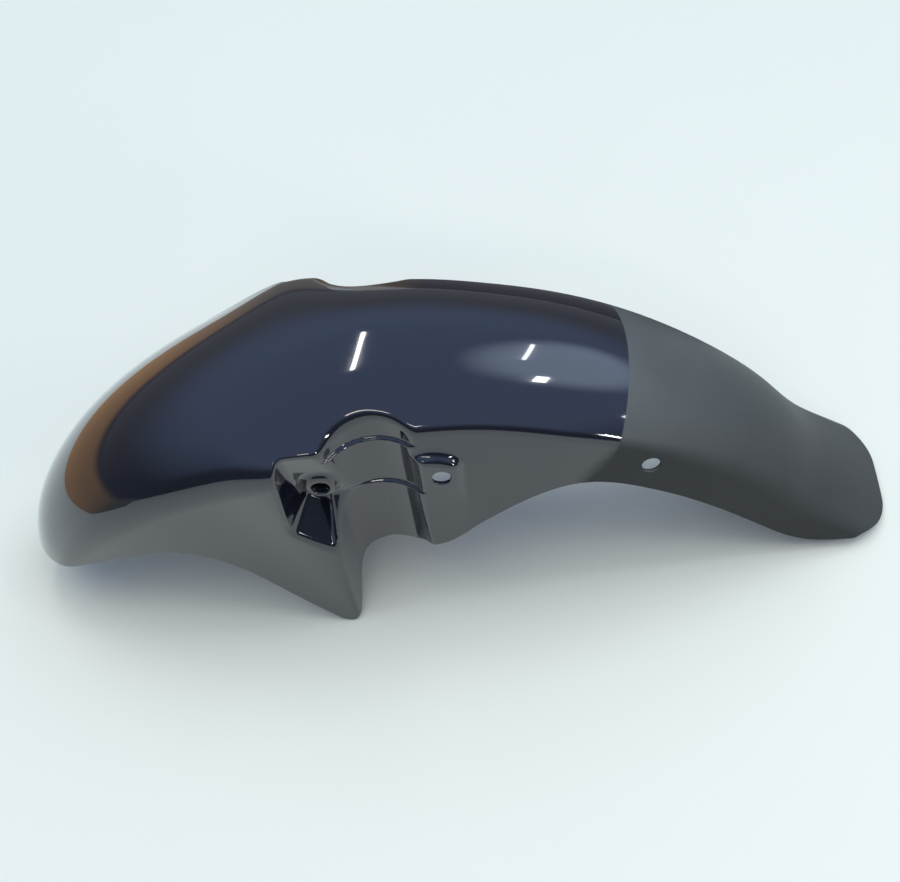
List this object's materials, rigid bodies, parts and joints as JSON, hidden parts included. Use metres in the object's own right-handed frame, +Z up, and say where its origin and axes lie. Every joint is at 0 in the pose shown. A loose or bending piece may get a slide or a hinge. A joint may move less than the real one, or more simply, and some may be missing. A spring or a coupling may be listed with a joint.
{
  "type": "motorcycle front mudguard",
  "caption": "Moulded plastic front mudguard with a gloss black painted front, a bare charcoal tail, fork leg channels, bolt lugs in side pockets and stay holes.",
  "frame": {"origin": "middle of the footprint, on the floor under the lower tabs", "axes": "+X towards the nose, +Y to the rider's left, +Z up; the fork legs run parallel to Z"},
  "size_m": [0.5874, 0.1706, 0.2017],
  "materials": {
    "shell": "gloss black paint over the nose and middle, bare fine-grained charcoal plastic on the tail and inside"
  },
  "bodies": {
    "root": {"mudguard_shell": "shell"}
  },
  "joints": []
}
